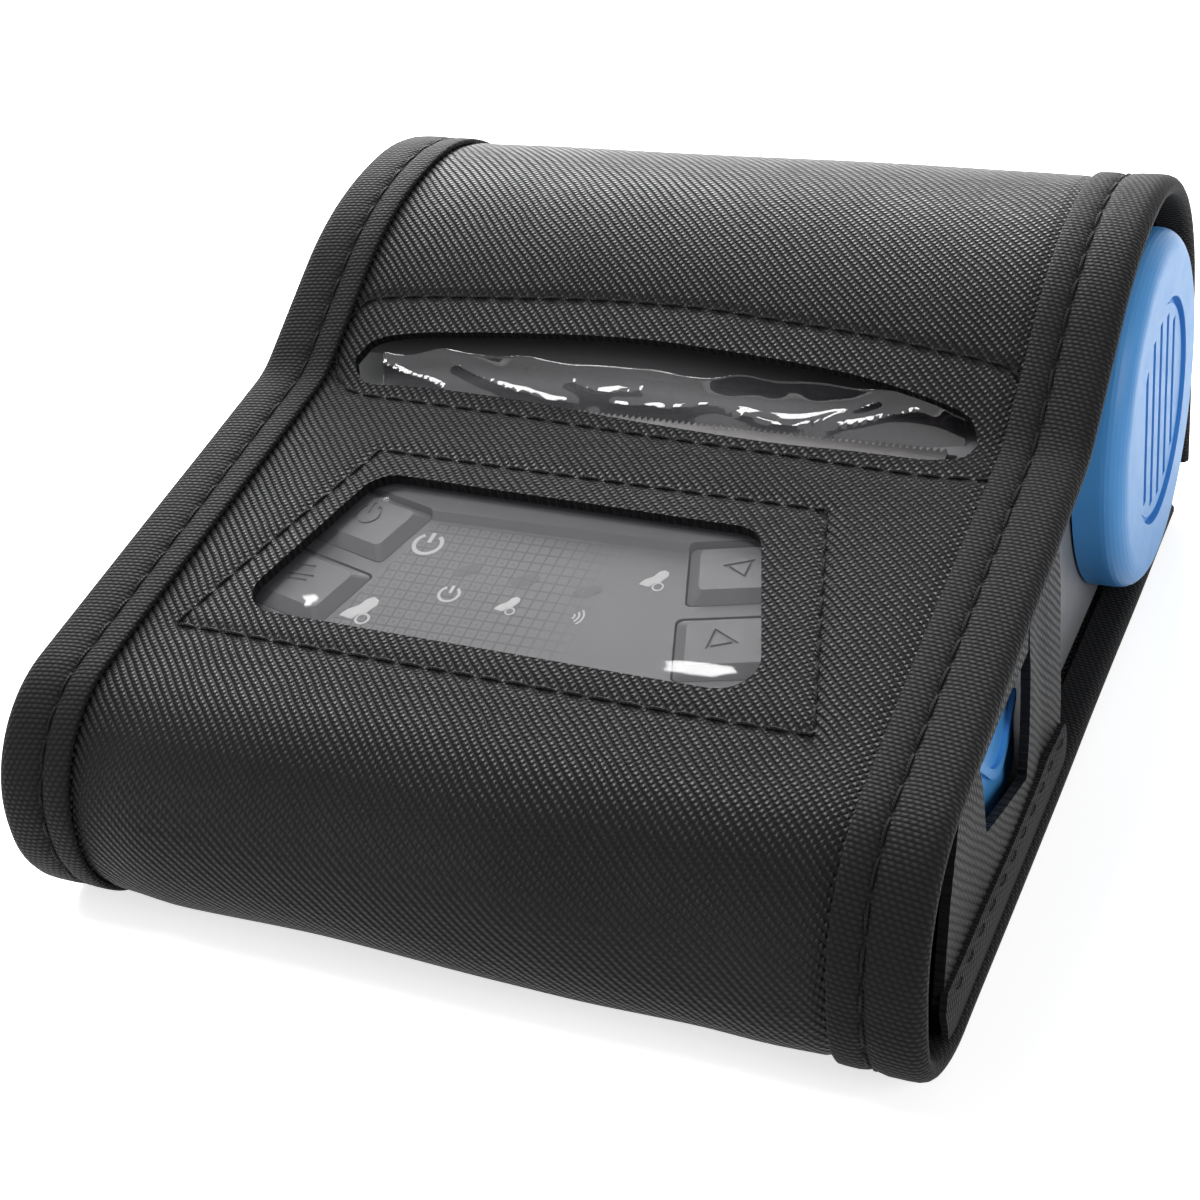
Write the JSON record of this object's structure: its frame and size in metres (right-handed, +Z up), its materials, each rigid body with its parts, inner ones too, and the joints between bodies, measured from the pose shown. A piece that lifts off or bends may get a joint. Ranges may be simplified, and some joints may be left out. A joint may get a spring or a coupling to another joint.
{
  "type": "portable receipt printer",
  "caption": "Portable thermal receipt printer in a sewn black belt case with a panel window, a paper slot, side openings and blue grip caps.",
  "frame": {"origin": "on the table, under the middle of the case", "axes": "+X across the paper to the side with the port cover, +Y from the front to the back, +Z up"},
  "size_m": [0.1224, 0.144, 0.06],
  "materials": {
    "leathercloth": "cross-hatched grain, satin",
    "webbing": "woven",
    "clear_film": "clear, glossy",
    "tape": "hook and loop",
    "grey_plastic": "fine texture",
    "dark_plastic": "fine texture",
    "overlay": "printed, satin",
    "blue_rubber": "smooth satin",
    "black_rubber": "ground",
    "steel": "bright",
    "aluminium": "extruded",
    "ceramic": "glazed",
    "board": "solder mask",
    "battery": "shrink sleeve",
    "gear_plastic": "moulded",
    "brass": "machined"
  },
  "bodies": {
    "base": {"case_body": "leathercloth", "case_binding_right": "webbing", "case_binding_left": "webbing", "gusset_right": "leathercloth", "gusset_left": "leathercloth", "gusset_binding_right": "webbing", "gusset_binding_left": "webbing", "window_film": "clear_film", "slot_film": "clear_film", "closure_loop": "tape", "lower_shell": "grey_plastic", "upper_shell": "grey_plastic", "panel_overlay": "overlay", "main_board": "board", "key_switches": "gear_plastic", "battery_pack": "battery", "battery_cover": "grey_plastic", "housing_screws": "steel", "port_cover": "blue_rubber", "usb_socket": "steel", "power_socket": "black_rubber", "mech_frame": "steel", "tear_bar": "steel", "head_springs": "steel", "step_motor": "steel", "idler_pin": "steel", "hinge_pin": "steel"},
    "flap": {"case_flap": "leathercloth", "flap_binding_right": "webbing", "flap_binding_left": "webbing", "closure_hook": "tape"},
    "cover": {"paper_cover": "dark_plastic", "grip_cap_right": "blue_rubber", "grip_cap_left": "blue_rubber", "platen_bushes": "gear_plastic"},
    "platen": {"platen_roller": "black_rubber", "platen_shaft": "steel", "platen_gear": "gear_plastic"},
    "idler": {"idler_gear": "gear_plastic"},
    "pinion": {"motor_pinion": "brass", "motor_shaft": "steel"},
    "head": {"head_sink": "aluminium", "print_head": "ceramic"},
    "power_key": {"power_key": "dark_plastic"},
    "feed_key": {"feed_key": "dark_plastic"},
    "up_key": {"up_key": "dark_plastic"},
    "down_key": {"down_key": "dark_plastic"}
  },
  "joints": [
    {"name": "flap_hinge", "type": "hinge", "parent": "base", "child": "flap", "pos_m": [0, 0.00143, 0.04362], "axis": [1, 0, 0], "range_deg": [0, 120]},
    {"name": "cover_hinge", "type": "hinge", "parent": "base", "child": "cover", "pos_m": [0, 0.059, 0.018], "axis": [1, 0, 0], "range_deg": [-54, 0]},
    {"name": "platen_spin", "type": "hinge", "parent": "cover", "child": "platen", "pos_m": [0, 0.0079, 0.0315], "axis": [1, 0, 0], "continuous": true},
    {"name": "idler_spin", "type": "hinge", "parent": "base", "child": "idler", "pos_m": [0, 0.00401, 0.01857], "axis": [1, 0, 0], "continuous": true},
    {"name": "pinion_spin", "type": "hinge", "parent": "base", "child": "pinion", "pos_m": [0, -0.00739, 0.01707], "axis": [1, 0, 0], "continuous": true},
    {"name": "head_pivot", "type": "hinge", "parent": "base", "child": "head", "pos_m": [0, -0.0001, 0.0266], "axis": [1, 0, 0], "range_deg": [0, 2], "stiffness_Nm_per_rad": 1, "springref_deg": -2.86},
    {"name": "power_press", "type": "slide", "parent": "base", "child": "power_key", "axis": [0, 0.1702, -0.9854], "range_m": [0, 0.0008], "stiffness_N_per_m": 200, "springref_m": -0.002},
    {"name": "feed_press", "type": "slide", "parent": "base", "child": "feed_key", "axis": [0, 0.1702, -0.9854], "range_m": [0, 0.0008], "stiffness_N_per_m": 200, "springref_m": -0.002},
    {"name": "up_press", "type": "slide", "parent": "base", "child": "up_key", "axis": [0, 0.1702, -0.9854], "range_m": [0, 0.0008], "stiffness_N_per_m": 200, "springref_m": -0.002},
    {"name": "down_press", "type": "slide", "parent": "base", "child": "down_key", "axis": [0, 0.1702, -0.9854], "range_m": [0, 0.0008], "stiffness_N_per_m": 200, "springref_m": -0.002}
  ],
  "couplings": [
    {"joint": "cover_hinge", "follows": "flap_hinge", "ratio": -0.45},
    {"joint": "idler_spin", "follows": "platen_spin", "ratio": -0.58824},
    {"joint": "pinion_spin", "follows": "platen_spin", "ratio": 1.6667}
  ]
}
